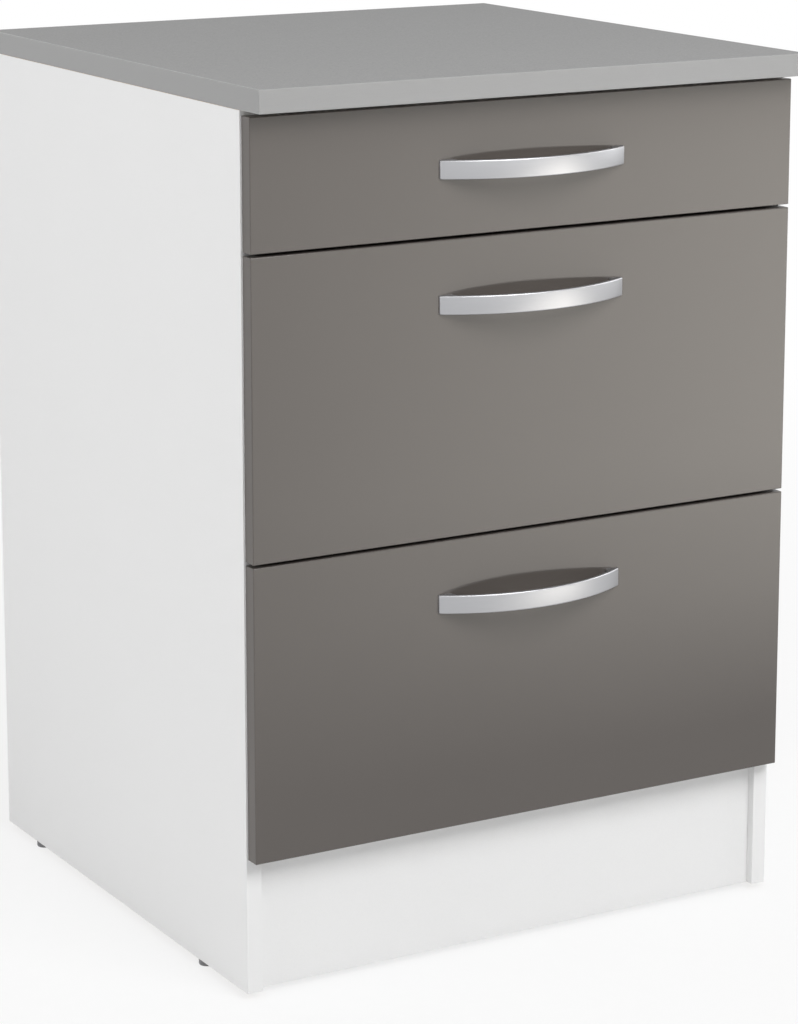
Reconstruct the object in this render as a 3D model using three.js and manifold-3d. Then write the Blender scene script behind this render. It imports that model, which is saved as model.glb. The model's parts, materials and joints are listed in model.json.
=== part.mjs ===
// Base cabinet with three drawers under a laminate worktop, as a flat-pack maker builds it.
// Millimetres, +Z up, drawer fronts facing -Y. The origin is on the floor, under the middle
// of the object's bounding box.

import * as THREE from "three";
import { mergeVertices } from "three/addons/utils/BufferGeometryUtils.js";
import Module from "manifold-3d";

// ---- Driving dimensions ----

// Carcass and worktop
const CABINET_WIDTH = 600;
const SIDE_PANEL_HEIGHT = 838;
const BOARD_THICKNESS = 16;
const WORKTOP_DEPTH = 600;
const WORKTOP_THICKNESS = 22;
const WORKTOP_OVERHANG = 22; // beyond the face of the drawer fronts
const WORKTOP_ARRIS = 0.8; // chamfer along the worktop's front edges
const TOP_RAIL_DEPTH = 100;
const PLINTH_RECESS = 8.7; // behind the front edges of the side panels
const BOTTOM_PANEL_RISE = 3; // its underside above the lower edge of the lowest front
const BACK_PANEL_THICKNESS = 3;
const BACK_PANEL_INSET = 18; // from the rear edges to the back panel's rear face
const GROOVE_DEPTH = 8; // grooves in the carcass boards for the back panel
const SEAT_GAP = 0.3; // between a piece and the hole or groove that it sits in

// Floor glides, pressed into the lower edges of the side panels
const GLIDE_RADIUS = 8;
const GLIDE_HEIGHT = 6;
const GLIDE_CHAMFER = 1.2;
const GLIDE_STEM_RADIUS = 2.5;
const GLIDE_STEM_LENGTH = 12;
const GLIDE_FRONT_INSET = 101; // from the front edge of the side panel to the glide's axis
const GLIDE_REAR_INSET = 76; // from its rear edge

// Drawer fronts
const FRONT_THICKNESS = 16;
const FRONT_TO_CARCASS = 0.3; // gap behind a closed front
const FRONT_SIDE_REVEAL = 1.5; // from the cabinet's side to the front's edge
const FRONT_TOP_REVEAL = 5; // from the worktop's underside to the top front
const FRONT_JOINT = 3; // gap between two fronts
const TOP_FRONT_HEIGHT = 124;
const DEEP_FRONT_HEIGHT = 285;

// Drawer boxes
const BOX_BOARD = 12;
const BOX_RISE = 28; // lower edge of the box above the lower edge of its front
const TOP_BOX_DROP = 20; // upper edge of the box below the upper edge of its front
const DEEP_BOX_DROP = 67;
const DRAWER_REAR_CLEARANCE = 37.7; // from the runners' rear ends to the back panel
const DRAWER_BOTTOM_THICKNESS = 3;
const DRAWER_BOTTOM_RISE = 10; // above the lower edge of the box
const BOX_GROOVE_DEPTH = 6;

// Bow handles
const HANDLE_LENGTH = 204;
const HANDLE_HEIGHT = 18;
const HANDLE_PROJECTION = 31;
const HANDLE_BLADE = 4;
const HANDLE_END_RISE = 2; // the ends' outer edges off the front
const HANDLE_FOOT_LENGTH = 14;
const HANDLE_DROP = 61; // centre line below the upper edge of the front
const HANDLE_SCREW_INSET = 6; // from the handle's end to the screw's axis
const SCREW_RADIUS = 2;
const SCREW_BITE = 3.8; // length of the screw inside the handle's foot
const SCREW_HEAD_RADIUS = 4;
const SCREW_HEAD_HEIGHT = 2.4;

// Roller runners, folded from steel sheet
const SIDE_CLEARANCE = 12.5; // from the side panel to the drawer box
const SHEET = 1.2;
const RUNNER_SETBACK = 3; // cabinet runner behind the front edge of the side panel
const RUNNER_FRONT_GAP = 2; // drawer runner behind the drawer front
const TRACK_DROP = 0.2; // track's surface below the lower edge of the box
const TRACK_LIP = 2.5;
const LIP_CLEARANCE = 2.1; // from the track's lip to the drawer runner
const RUN_GAP = 0.3; // between a roller and its pin or track
const ROLLER_RADIUS = 8.5;
const ROLLER_HEADROOM = 0.7;
const ROLLER_SIDE_GAP = 0.5;
const ROLLER_CHAMFER = 0.6;
const ROLLER_END_INSET = 15; // from the runner's end to the roller's axis
const FLANGE_CLEARANCE = 0.8; // drawer runner's flange above the cabinet runner
const FLANGE_WIDTH = 8;
const FLANGE_START = 30; // the upper flange begins behind the front roller
const UNDER_FLANGE = 10; // the part of the drawer runner under the box
const PIN_RADIUS = 2.5;
const PIN_HEAD_RADIUS = 4;
const PIN_HEAD_THICKNESS = 1;
const DRAWER_TRAVEL = 375;
const STOP_LENGTH = 3;
const STOP_DEPTH = 5; // the stop tab below the upper flange

// How finely round pieces are cut
const ROLLER_SEGMENTS = 20;
const SMALL_SEGMENTS = 16;
const BOW_SEGMENTS = 28;
const MERGE_TOLERANCE = 1e-4;

// ---- Places worked out from them ----

const halfWidth = CABINET_WIDTH / 2;
const innerHalf = halfWidth - BOARD_THICKNESS;
const boxHalf = innerHalf - SIDE_CLEARANCE;

const backY = (WORKTOP_DEPTH + HANDLE_PROJECTION - WORKTOP_OVERHANG) / 2;
const worktopFrontY = backY - WORKTOP_DEPTH;
const frontFaceY = worktopFrontY + WORKTOP_OVERHANG;
const frontRearY = frontFaceY + FRONT_THICKNESS;
const carcassFrontY = frontRearY + FRONT_TO_CARCASS;
const backPanelRearY = backY - BACK_PANEL_INSET;
const backPanelFrontY = backPanelRearY - BACK_PANEL_THICKNESS;

const panelBottomZ = GLIDE_HEIGHT;
const panelTopZ = panelBottomZ + SIDE_PANEL_HEIGHT;
const railBottomZ = panelTopZ - BOARD_THICKNESS;

const runnerFrontY = carcassFrontY + RUNNER_SETBACK;
const runnerRearY = backPanelFrontY - DRAWER_REAR_CLEARANCE;
const boxRearY = frontRearY + (runnerRearY - runnerFrontY);
const frontRollerY = runnerFrontY + ROLLER_END_INSET;
const rearRollerY = boxRearY - ROLLER_END_INSET;

// Across the runner, measured from the side panel's inner face towards the drawer
const rollerNear = SHEET + ROLLER_SIDE_GAP + PIN_HEAD_THICKNESS + RUN_GAP;
const drawerWeb = SIDE_CLEARANCE - SHEET;
const lipOuter = drawerWeb - LIP_CLEARANCE;
const rollerFar = lipOuter - SHEET - ROLLER_SIDE_GAP;
const rollerWidth = rollerFar - rollerNear;

// Up the runner, measured from the lower edge of the drawer box
const trackZ = -TRACK_DROP;
const rearRollerZ = trackZ + RUN_GAP + ROLLER_RADIUS;
const channelTopZ = rearRollerZ + ROLLER_RADIUS + ROLLER_HEADROOM + SHEET;
const flangeZ = channelTopZ + FLANGE_CLEARANCE;
const frontRollerZ = flangeZ - RUN_GAP - ROLLER_RADIUS;

// The drawers from the top down, with the height of each front's lower edge
function stackDrawers() {
  const drawers = [
    { name: "top", frontHeight: TOP_FRONT_HEIGHT, boxDrop: TOP_BOX_DROP },
    { name: "middle", frontHeight: DEEP_FRONT_HEIGHT, boxDrop: DEEP_BOX_DROP },
    { name: "bottom", frontHeight: DEEP_FRONT_HEIGHT, boxDrop: DEEP_BOX_DROP },
  ];
  let upperEdge = panelTopZ - FRONT_TOP_REVEAL;
  for (const drawer of drawers) {
    drawer.frontBottomZ = upperEdge - drawer.frontHeight;
    drawer.boxBottomZ = drawer.frontBottomZ + BOX_RISE;
    drawer.boxHeight = drawer.frontHeight - BOX_RISE - drawer.boxDrop;
    drawer.handleZ = drawer.frontHeight - HANDLE_DROP - BOX_RISE;
    upperEdge = drawer.frontBottomZ - FRONT_JOINT;
  }
  return drawers;
}

const drawers = stackDrawers();
const lowestFrontZ = drawers[drawers.length - 1].frontBottomZ;
const bottomPanelZ = lowestFrontZ + BOTTOM_PANEL_RISE;
const bottomPanelTopZ = bottomPanelZ + BOARD_THICKNESS;

// ---- Finishes ----

function finish(color, roughness, metalness) {
  return new THREE.MeshStandardMaterial({ color, roughness, metalness });
}

const whiteMelamine = finish(0xf0f0ee, 0.45, 0);
const greyLaminate = finish(0xa2a2a1, 0.5, 0);
const taupeGloss = finish(0x6c6866, 0.1, 0);
const satinMetal = finish(0xc6c6c8, 0.3, 1);
const whiteSteel = finish(0xe9e9e6, 0.35, 0.2);
const zincSteel = finish(0xb8bcc0, 0.35, 1);
const nylon = finish(0xf2f0e8, 0.5, 0);
const hardboard = finish(0xc9b18c, 0.75, 0);
const greyPlastic = finish(0x86868a, 0.6, 0);

// ---- Shape helpers ----

const wasm = await Module();
wasm.setup();

function toSolid(geometry) {
  const bare = geometry.clone();
  bare.deleteAttribute("normal");
  bare.deleteAttribute("uv");
  const merged = mergeVertices(bare, MERGE_TOLERANCE);
  return new wasm.Manifold(
    new wasm.Mesh({
      numProp: 3,
      vertProperties: merged.getAttribute("position").array,
      triVerts: new Uint32Array(merged.index.array),
    }),
  );
}

function toGeometry(solid) {
  const mesh = solid.getMesh();
  const geometry = new THREE.BufferGeometry();
  geometry.setAttribute("position", new THREE.BufferAttribute(mesh.vertProperties, 3));
  geometry.setIndex(new THREE.BufferAttribute(mesh.triVerts, 1));
  geometry.computeVertexNormals();
  return geometry;
}

function cut(body, ...tools) {
  const left = tools.reduce((solid, tool) => solid.subtract(toSolid(tool)), toSolid(body));
  return toGeometry(left);
}

function join(body, ...extras) {
  const whole = extras.reduce((solid, extra) => solid.add(toSolid(extra)), toSolid(body));
  return toGeometry(whole);
}

// A box between two corners, each side given as [low, high]
function box(spanX, spanY, spanZ) {
  const geometry = new THREE.BoxGeometry(1, 1, 1);
  const corners = geometry.getAttribute("position");
  const pick = (span, value) => (value < 0 ? Math.min(...span) : Math.max(...span));
  for (let i = 0; i < corners.count; i++) {
    corners.setXYZ(
      i,
      pick(spanX, corners.getX(i)),
      pick(spanY, corners.getY(i)),
      pick(spanZ, corners.getZ(i)),
    );
  }
  return geometry;
}

// An outline of [across, up] points, drawn along Y between two places
function prismAlongY(outline, fromY, toY) {
  const shape = new THREE.Shape(outline.map(([x, z]) => new THREE.Vector2(x, z)));
  const prism = new THREE.ExtrudeGeometry(shape, { depth: toY - fromY, bevelEnabled: false });
  const turn = new THREE.Matrix4().makeBasis(
    new THREE.Vector3(1, 0, 0),
    new THREE.Vector3(0, 0, 1),
    new THREE.Vector3(0, -1, 0),
  );
  return prism.applyMatrix4(turn).translate(0, toY, 0);
}

// An outline of [back, up] points, drawn along X between two places
function prismAlongX(outline, fromX, toX) {
  const shape = new THREE.Shape(outline.map(([y, z]) => new THREE.Vector2(y, z)));
  const prism = new THREE.ExtrudeGeometry(shape, { depth: toX - fromX, bevelEnabled: false });
  const turn = new THREE.Matrix4().makeBasis(
    new THREE.Vector3(0, 1, 0),
    new THREE.Vector3(0, 0, 1),
    new THREE.Vector3(1, 0, 0),
  );
  return prism.applyMatrix4(turn).translate(fromX, 0, 0);
}

const TURNS = {
  x: new THREE.Matrix4().makeRotationZ(-Math.PI / 2),
  y: new THREE.Matrix4(),
  z: new THREE.Matrix4().makeRotationX(Math.PI / 2),
};

// A round piece: an outline of [radius, along] points turned about an axis through the origin
function turned(outline, axis, segments) {
  const points = outline.map(([radius, along]) => new THREE.Vector2(radius, along));
  return new THREE.LatheGeometry(points, segments).applyMatrix4(TURNS[axis]);
}

function rod(radius, from, to, axis) {
  const outline = [
    [0, from],
    [radius, from],
    [radius, to],
    [0, to],
  ];
  return turned(outline, axis, SMALL_SEGMENTS);
}

function piece(name, geometry, material, x = 0, y = 0, z = 0) {
  const mesh = new THREE.Mesh(geometry, material.clone());
  mesh.name = name;
  mesh.position.set(x, y, z);
  return mesh;
}

const SIDES = [
  { word: "left", sign: -1 },
  { word: "right", sign: 1 },
];

// ---- Carcass ----

const glidePlaces = [
  { word: "front", y: carcassFrontY + GLIDE_FRONT_INSET },
  { word: "rear", y: backY - GLIDE_REAR_INSET },
];
const glideX = halfWidth - BOARD_THICKNESS / 2;
const grooveY = [backPanelFrontY - SEAT_GAP, backPanelRearY + SEAT_GAP];

function sidePanel(side) {
  const outerX = side.sign * halfWidth;
  const innerX = side.sign * innerHalf;
  const board = box([outerX, innerX], [carcassFrontY, backY], [panelBottomZ, panelTopZ]);
  const groove = box(
    [innerX - side.sign * BOARD_THICKNESS, innerX + side.sign * GROOVE_DEPTH],
    grooveY,
    [panelBottomZ - BOARD_THICKNESS, panelTopZ + BOARD_THICKNESS],
  );
  const stemHoles = glidePlaces.map((place) =>
    rod(
      GLIDE_STEM_RADIUS + SEAT_GAP,
      panelBottomZ - GLIDE_HEIGHT,
      panelBottomZ + GLIDE_STEM_LENGTH + SEAT_GAP,
      "z",
    ).translate(side.sign * glideX, place.y, 0),
  );
  return piece(`side_panel_${side.word}`, cut(board, groove, ...stemHoles), whiteMelamine);
}

function bottomPanel() {
  const board = box(
    [-innerHalf, innerHalf],
    [carcassFrontY, backY],
    [bottomPanelZ, bottomPanelTopZ],
  );
  const groove = box(
    [-halfWidth, halfWidth],
    grooveY,
    [bottomPanelTopZ - GROOVE_DEPTH, bottomPanelTopZ + GROOVE_DEPTH],
  );
  return piece("bottom_panel", cut(board, groove), whiteMelamine);
}

function plinthBoard() {
  const faceY = carcassFrontY + PLINTH_RECESS;
  const board = box(
    [-innerHalf, innerHalf],
    [faceY, faceY + BOARD_THICKNESS],
    [panelBottomZ, bottomPanelZ],
  );
  return piece("plinth_board", board, whiteMelamine);
}

function frontTopRail() {
  const board = box(
    [-innerHalf, innerHalf],
    [carcassFrontY, carcassFrontY + TOP_RAIL_DEPTH],
    [railBottomZ, panelTopZ],
  );
  return piece("front_top_rail", board, whiteMelamine);
}

function rearTopRail() {
  const board = box([-innerHalf, innerHalf], [backY - TOP_RAIL_DEPTH, backY], [railBottomZ, panelTopZ]);
  const groove = box(
    [-halfWidth, halfWidth],
    grooveY,
    [railBottomZ - GROOVE_DEPTH, railBottomZ + GROOVE_DEPTH],
  );
  return piece("rear_top_rail", cut(board, groove), whiteMelamine);
}

function backPanel() {
  const reach = GROOVE_DEPTH - SEAT_GAP;
  const sheet = box(
    [-innerHalf - reach, innerHalf + reach],
    [backPanelFrontY, backPanelRearY],
    [bottomPanelTopZ - reach, railBottomZ + reach],
  );
  return piece("back_panel", sheet, hardboard);
}

function worktop() {
  const topZ = panelTopZ + WORKTOP_THICKNESS;
  const section = [
    [worktopFrontY + WORKTOP_ARRIS, panelTopZ],
    [backY, panelTopZ],
    [backY, topZ],
    [worktopFrontY + WORKTOP_ARRIS, topZ],
    [worktopFrontY, topZ - WORKTOP_ARRIS],
    [worktopFrontY, panelTopZ + WORKTOP_ARRIS],
  ];
  return piece("worktop", prismAlongX(section, -halfWidth, halfWidth), greyLaminate);
}

function glide(side, place) {
  const outline = [
    [0, 0],
    [GLIDE_RADIUS - GLIDE_CHAMFER, 0],
    [GLIDE_RADIUS, GLIDE_CHAMFER],
    [GLIDE_RADIUS, GLIDE_HEIGHT - SEAT_GAP],
    [GLIDE_STEM_RADIUS, GLIDE_HEIGHT - SEAT_GAP],
    [GLIDE_STEM_RADIUS, GLIDE_HEIGHT + GLIDE_STEM_LENGTH],
    [0, GLIDE_HEIGHT + GLIDE_STEM_LENGTH],
  ];
  const name = `floor_glide_${place.word}_${side.word}`;
  const body = turned(outline, "z", SMALL_SEGMENTS);
  return piece(name, body, greyPlastic, side.sign * glideX, place.y, 0);
}

function carcass() {
  const group = new THREE.Group();
  group.add(bottomPanel(), plinthBoard(), frontTopRail(), rearTopRail(), backPanel(), worktop());
  for (const side of SIDES) {
    group.add(sidePanel(side));
    glidePlaces.forEach((place) => group.add(glide(side, place)));
  }
  return group;
}

// ---- Runners ----

// The place across the cabinet at a distance from a side panel's inner face
function across(side, distance) {
  return side.sign * (innerHalf - distance);
}

// A rivet through a roller: a spacer from the sheet to the roller, the pin and its head
function rivet(side, sheetFrom, spacerTo, pinTo, headTo) {
  const at = (distance) => across(side, distance);
  const rodBetween = (radius, a, b) => {
    const [low, high] = [at(a), at(b)].sort((p, q) => p - q);
    return rod(radius, low, high, "x");
  };
  return join(
    rodBetween(PIN_RADIUS, sheetFrom, headTo),
    rodBetween(PIN_HEAD_RADIUS, sheetFrom, spacerTo),
    rodBetween(PIN_HEAD_RADIUS, pinTo, headTo),
  );
}

// The fixed runner: a web on the side panel, the track with its lip, the upper flange with the
// stop tab, and the rivet of the front roller
function cabinetRunner(side, drawer) {
  const outline = [
    [0, trackZ - SHEET],
    [lipOuter, trackZ - SHEET],
    [lipOuter, trackZ + TRACK_LIP],
    [lipOuter - SHEET, trackZ + TRACK_LIP],
    [lipOuter - SHEET, trackZ],
    [SHEET, trackZ],
    [SHEET, channelTopZ],
    [0, channelTopZ],
  ].map(([distance, z]) => [across(side, distance), z]);
  const channel = prismAlongY(outline, runnerFrontY, runnerRearY);
  const flange = box(
    [across(side, SHEET / 2), across(side, FLANGE_WIDTH)],
    [runnerFrontY + FLANGE_START, runnerRearY],
    [channelTopZ - SHEET, channelTopZ],
  );
  const tabBottomZ = channelTopZ - SHEET - STOP_DEPTH;
  const rollerReach = Math.sqrt(ROLLER_RADIUS ** 2 - (tabBottomZ - rearRollerZ) ** 2);
  const tabRearY = rearRollerY - DRAWER_TRAVEL - rollerReach - SEAT_GAP;
  const stopTab = box(
    [across(side, rollerNear), across(side, rollerFar)],
    [tabRearY - STOP_LENGTH, tabRearY],
    [tabBottomZ, channelTopZ - SHEET / 2],
  );
  const pin = rivet(
    side,
    SHEET / 2,
    rollerNear - RUN_GAP,
    rollerFar + RUN_GAP,
    rollerFar + RUN_GAP + PIN_HEAD_THICKNESS,
  ).translate(0, frontRollerY, frontRollerZ);
  const name = `${drawer.name}_cabinet_runner_${side.word}`;
  return piece(name, join(channel, flange, stopTab, pin), whiteSteel);
}

// The moving runner: a web on the drawer side, a flange under the box, the flange that rests on
// the front roller, and the rivet of the rear roller
function drawerRunner(side, drawer) {
  const flangeEdge = rollerNear - ROLLER_SIDE_GAP;
  const outline = [
    [drawerWeb, -SHEET],
    [SIDE_CLEARANCE + UNDER_FLANGE, -SHEET],
    [SIDE_CLEARANCE + UNDER_FLANGE, 0],
    [SIDE_CLEARANCE, 0],
    [SIDE_CLEARANCE, flangeZ + SHEET],
    [flangeEdge, flangeZ + SHEET],
    [flangeEdge, flangeZ],
    [drawerWeb, flangeZ],
  ].map(([distance, z]) => [across(side, distance), z]);
  const angle = prismAlongY(outline, frontRearY + RUNNER_FRONT_GAP, boxRearY);
  const pin = rivet(
    side,
    drawerWeb + SHEET / 2,
    rollerFar + RUN_GAP,
    rollerNear - RUN_GAP,
    rollerNear - RUN_GAP - PIN_HEAD_THICKNESS,
  ).translate(0, rearRollerY, rearRollerZ);
  return piece(`${drawer.name}_drawer_runner_${side.word}`, join(angle, pin), whiteSteel);
}

function roller(name, side, y, z) {
  const bore = PIN_RADIUS + RUN_GAP;
  const half = rollerWidth / 2;
  const outline = [
    [bore, -half],
    [ROLLER_RADIUS - ROLLER_CHAMFER, -half],
    [ROLLER_RADIUS, -half + ROLLER_CHAMFER],
    [ROLLER_RADIUS, half - ROLLER_CHAMFER],
    [ROLLER_RADIUS - ROLLER_CHAMFER, half],
    [bore, half],
    [bore, -half],
  ];
  const x = across(side, (rollerNear + rollerFar) / 2);
  return piece(name, turned(outline, "x", ROLLER_SEGMENTS), nylon, x, y, z);
}

// ---- Drawers, each in a group whose zero height is the lower edge of the box ----

const frontHalf = halfWidth - FRONT_SIDE_REVEAL;
const boxInnerHalf = boxHalf - BOX_BOARD;
const screwX = HANDLE_LENGTH / 2 - HANDLE_SCREW_INSET;
const bottomGrooveZ = [
  DRAWER_BOTTOM_RISE - SEAT_GAP,
  DRAWER_BOTTOM_RISE + DRAWER_BOTTOM_THICKNESS + SEAT_GAP,
];

function screwHole(side, drawer, fromY, toY) {
  const hole = rod(SCREW_RADIUS + SEAT_GAP, fromY, toY, "y");
  return hole.translate(side.sign * screwX, 0, drawer.handleZ);
}

function drawerFront(drawer) {
  const bottomZ = -BOX_RISE;
  const board = box(
    [-frontHalf, frontHalf],
    [frontFaceY, frontRearY],
    [bottomZ, bottomZ + drawer.frontHeight],
  );
  const groove = box(
    [-boxInnerHalf - BOX_GROOVE_DEPTH, boxInnerHalf + BOX_GROOVE_DEPTH],
    [frontRearY - BOX_GROOVE_DEPTH, frontRearY + BOX_GROOVE_DEPTH],
    bottomGrooveZ,
  );
  const holes = SIDES.map((side) =>
    screwHole(side, drawer, frontFaceY - SCREW_RADIUS, frontRearY + SCREW_RADIUS),
  );
  return piece(`${drawer.name}_drawer_front`, cut(board, groove, ...holes), taupeGloss);
}

function drawerSide(side, drawer) {
  const outerX = side.sign * boxHalf;
  const innerX = side.sign * boxInnerHalf;
  const board = box([outerX, innerX], [frontRearY, boxRearY], [0, drawer.boxHeight]);
  const groove = box(
    [innerX - side.sign * BOX_GROOVE_DEPTH, innerX + side.sign * BOX_GROOVE_DEPTH],
    [frontRearY - BOX_GROOVE_DEPTH, boxRearY + BOX_GROOVE_DEPTH],
    bottomGrooveZ,
  );
  return piece(`${drawer.name}_drawer_side_${side.word}`, cut(board, groove), whiteMelamine);
}

function drawerBack(drawer) {
  const board = box(
    [-boxInnerHalf, boxInnerHalf],
    [boxRearY - BOX_BOARD, boxRearY],
    [bottomGrooveZ[1], drawer.boxHeight],
  );
  return piece(`${drawer.name}_drawer_back`, board, whiteMelamine);
}

function drawerBottom(drawer) {
  const reach = BOX_GROOVE_DEPTH - SEAT_GAP;
  const sheet = box(
    [-boxInnerHalf - reach, boxInnerHalf + reach],
    [frontRearY - reach, boxRearY],
    [DRAWER_BOTTOM_RISE, DRAWER_BOTTOM_RISE + DRAWER_BOTTOM_THICKNESS],
  );
  return piece(`${drawer.name}_drawer_bottom`, sheet, hardboard);
}

// The bow in plan: two arcs about one centre, ending in feet that stand on the drawer front
function bowOutline() {
  const halfLength = HANDLE_LENGTH / 2;
  const rise = HANDLE_PROJECTION - HANDLE_END_RISE;
  const outerRadius = (halfLength ** 2 + rise ** 2) / (2 * rise);
  const innerRadius = outerRadius - HANDLE_BLADE;
  const centreY = frontFaceY - HANDLE_PROJECTION + outerRadius;
  const footX = halfLength - HANDLE_FOOT_LENGTH;
  const outerAngle = Math.asin(halfLength / outerRadius);
  const innerAngle = Math.asin(footX / innerRadius);
  const ahead = -Math.PI / 2;
  const shape = new THREE.Shape();
  shape.moveTo(-halfLength, frontFaceY);
  shape.absarc(0, centreY, outerRadius, ahead - outerAngle, ahead + outerAngle, false);
  shape.lineTo(halfLength, frontFaceY);
  shape.lineTo(footX, frontFaceY);
  shape.absarc(0, centreY, innerRadius, ahead + innerAngle, ahead - innerAngle, true);
  shape.lineTo(-footX, frontFaceY);
  shape.closePath();
  return shape;
}

function handle(drawer) {
  const bow = new THREE.ExtrudeGeometry(bowOutline(), {
    depth: HANDLE_HEIGHT,
    bevelEnabled: false,
    curveSegments: BOW_SEGMENTS,
  }).translate(0, 0, drawer.handleZ - HANDLE_HEIGHT / 2);
  const holes = SIDES.map((side) =>
    screwHole(side, drawer, frontFaceY - SCREW_BITE - SEAT_GAP, frontFaceY + SCREW_RADIUS),
  );
  return piece(`${drawer.name}_handle`, cut(bow, ...holes), satinMetal);
}

function handleScrew(side, drawer) {
  const tipY = frontFaceY - SCREW_BITE;
  const headY = frontRearY + SEAT_GAP;
  const outline = [
    [0, tipY],
    [SCREW_RADIUS, tipY],
    [SCREW_RADIUS, headY],
    [SCREW_HEAD_RADIUS, headY],
    [SCREW_HEAD_RADIUS, headY + SCREW_HEAD_HEIGHT / 2],
    [SCREW_HEAD_RADIUS / 2, headY + SCREW_HEAD_HEIGHT],
    [0, headY + SCREW_HEAD_HEIGHT],
  ];
  const name = `${drawer.name}_handle_screw_${side.word}`;
  const body = turned(outline, "y", SMALL_SEGMENTS);
  return piece(name, body, zincSteel, side.sign * screwX, 0, drawer.handleZ);
}

function drawerWithRunners(drawer) {
  const group = new THREE.Group();
  group.position.z = drawer.boxBottomZ;
  group.add(drawerFront(drawer), drawerBack(drawer), drawerBottom(drawer), handle(drawer));
  for (const side of SIDES) {
    group.add(drawerSide(side, drawer), handleScrew(side, drawer));
    group.add(drawerRunner(side, drawer), cabinetRunner(side, drawer));
    const frontName = `${drawer.name}_front_roller_${side.word}`;
    const rearName = `${drawer.name}_rear_roller_${side.word}`;
    group.add(roller(frontName, side, frontRollerY, frontRollerZ));
    group.add(roller(rearName, side, rearRollerY, rearRollerZ));
  }
  return group;
}

// ---- The whole cabinet ----

const cabinet = new THREE.Group();
cabinet.name = "base_cabinet";
cabinet.add(carcass(), ...drawers.map(drawerWithRunners));

export default cabinet;
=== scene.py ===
"""A flat-pack base cabinet with three drawers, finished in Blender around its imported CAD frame."""

import itertools
import json
import math

import bmesh
import bpy
from bpy.props import FloatProperty, FloatVectorProperty, IntProperty, PointerProperty
from mathutils import Matrix, Vector


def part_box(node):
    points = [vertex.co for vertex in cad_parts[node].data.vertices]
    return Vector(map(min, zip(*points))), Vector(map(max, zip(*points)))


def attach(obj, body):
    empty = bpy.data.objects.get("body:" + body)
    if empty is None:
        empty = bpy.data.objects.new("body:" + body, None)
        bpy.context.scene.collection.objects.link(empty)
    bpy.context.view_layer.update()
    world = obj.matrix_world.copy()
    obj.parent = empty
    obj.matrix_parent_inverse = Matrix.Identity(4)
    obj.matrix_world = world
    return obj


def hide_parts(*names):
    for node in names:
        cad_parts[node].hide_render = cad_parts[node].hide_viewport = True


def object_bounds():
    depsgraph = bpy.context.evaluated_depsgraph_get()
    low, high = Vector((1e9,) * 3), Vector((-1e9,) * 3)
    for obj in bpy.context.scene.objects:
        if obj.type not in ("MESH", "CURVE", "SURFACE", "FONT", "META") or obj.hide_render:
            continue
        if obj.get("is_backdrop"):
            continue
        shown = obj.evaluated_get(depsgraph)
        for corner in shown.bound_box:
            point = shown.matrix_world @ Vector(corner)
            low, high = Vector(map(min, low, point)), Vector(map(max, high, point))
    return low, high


bl_info = {
    "name": "Base Cabinet with Drawers",
    "version": (1, 0, 0),
    "blender": (4, 5, 0),
    "location": "3D View > Sidebar > Cabinet",
    "description": "Builds the boards, drawers, handles, runners and fixings of a base cabinet",
    "category": "Add Mesh",
}

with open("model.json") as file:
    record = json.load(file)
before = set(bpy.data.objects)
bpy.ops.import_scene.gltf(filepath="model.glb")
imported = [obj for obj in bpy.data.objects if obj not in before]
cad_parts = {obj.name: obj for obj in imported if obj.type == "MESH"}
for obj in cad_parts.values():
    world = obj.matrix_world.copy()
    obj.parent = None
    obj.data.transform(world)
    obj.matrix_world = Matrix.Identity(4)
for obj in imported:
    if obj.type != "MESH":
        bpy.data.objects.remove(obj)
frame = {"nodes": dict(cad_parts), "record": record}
cad_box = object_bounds()
SLOTS = {part["node"]: part["material_slot"] for part in frame["record"]["subparts"]}
BODIES = {
    node: body
    for body, nodes in frame["record"]["behaviour"]["bodies"].items()
    for node in nodes
}

DRAWERS = ("top", "middle", "bottom")
HANDS = (("left", -1), ("right", 1))
ACROSS, DEEP, UP = range(3)  # the axes X, Y and Z
AXES = {  # the axis and direction in which each side of a board faces
    "left": (ACROSS, -1),
    "right": (ACROSS, 1),
    "front": (DEEP, -1),
    "rear": (DEEP, 1),
    "under": (UP, -1),
    "top": (UP, 1),
}
TOUCH = 2e-5  # how close a face lies to a board's outer side to belong to it
WELD = 1e-6  # points closer than this are one
SEAT_GAP = 0.0003  # between a sheet and the groove that it sits in
BEYOND = 1.0  # further than any board reaches
FLAT = math.radians(0.3)  # faces that meet at less are one flat face
SHARP = math.radians(35)  # faces that meet at more make a sharp edge
HANDLE_BLADE = 0.004  # thickness of a handle's bow
HANDLE_FOOT = 0.014  # length of a handle's foot on the front
HANDLE_END_RISE = 0.002  # from the front to the bow's outer end
EDGE_STEPS = 6  # of the rounding along a handle's edges
GLIDE_STEM = 0.0025  # radius of a glide's stem
# How far inside the pad's radius the outline of a glide lies, and how high.
GLIDE_RIM = ((0.0014, 0.0), (0.0005, 0.0004), (0.0, 0.0014), (0.0, 0.0031), (0.0004, 0.0034))
GLIDE_RIM += ((0.0004, 0.0040), (0.0, 0.0043), (0.0, 0.0053), (0.0004, 0.0057))
# Heights of each groove in a glide's stem and of the barb over it.
GLIDE_BARBS = ((0.0078, 0.0095), (0.0101, 0.0118), (0.0124, 0.0141))
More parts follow.
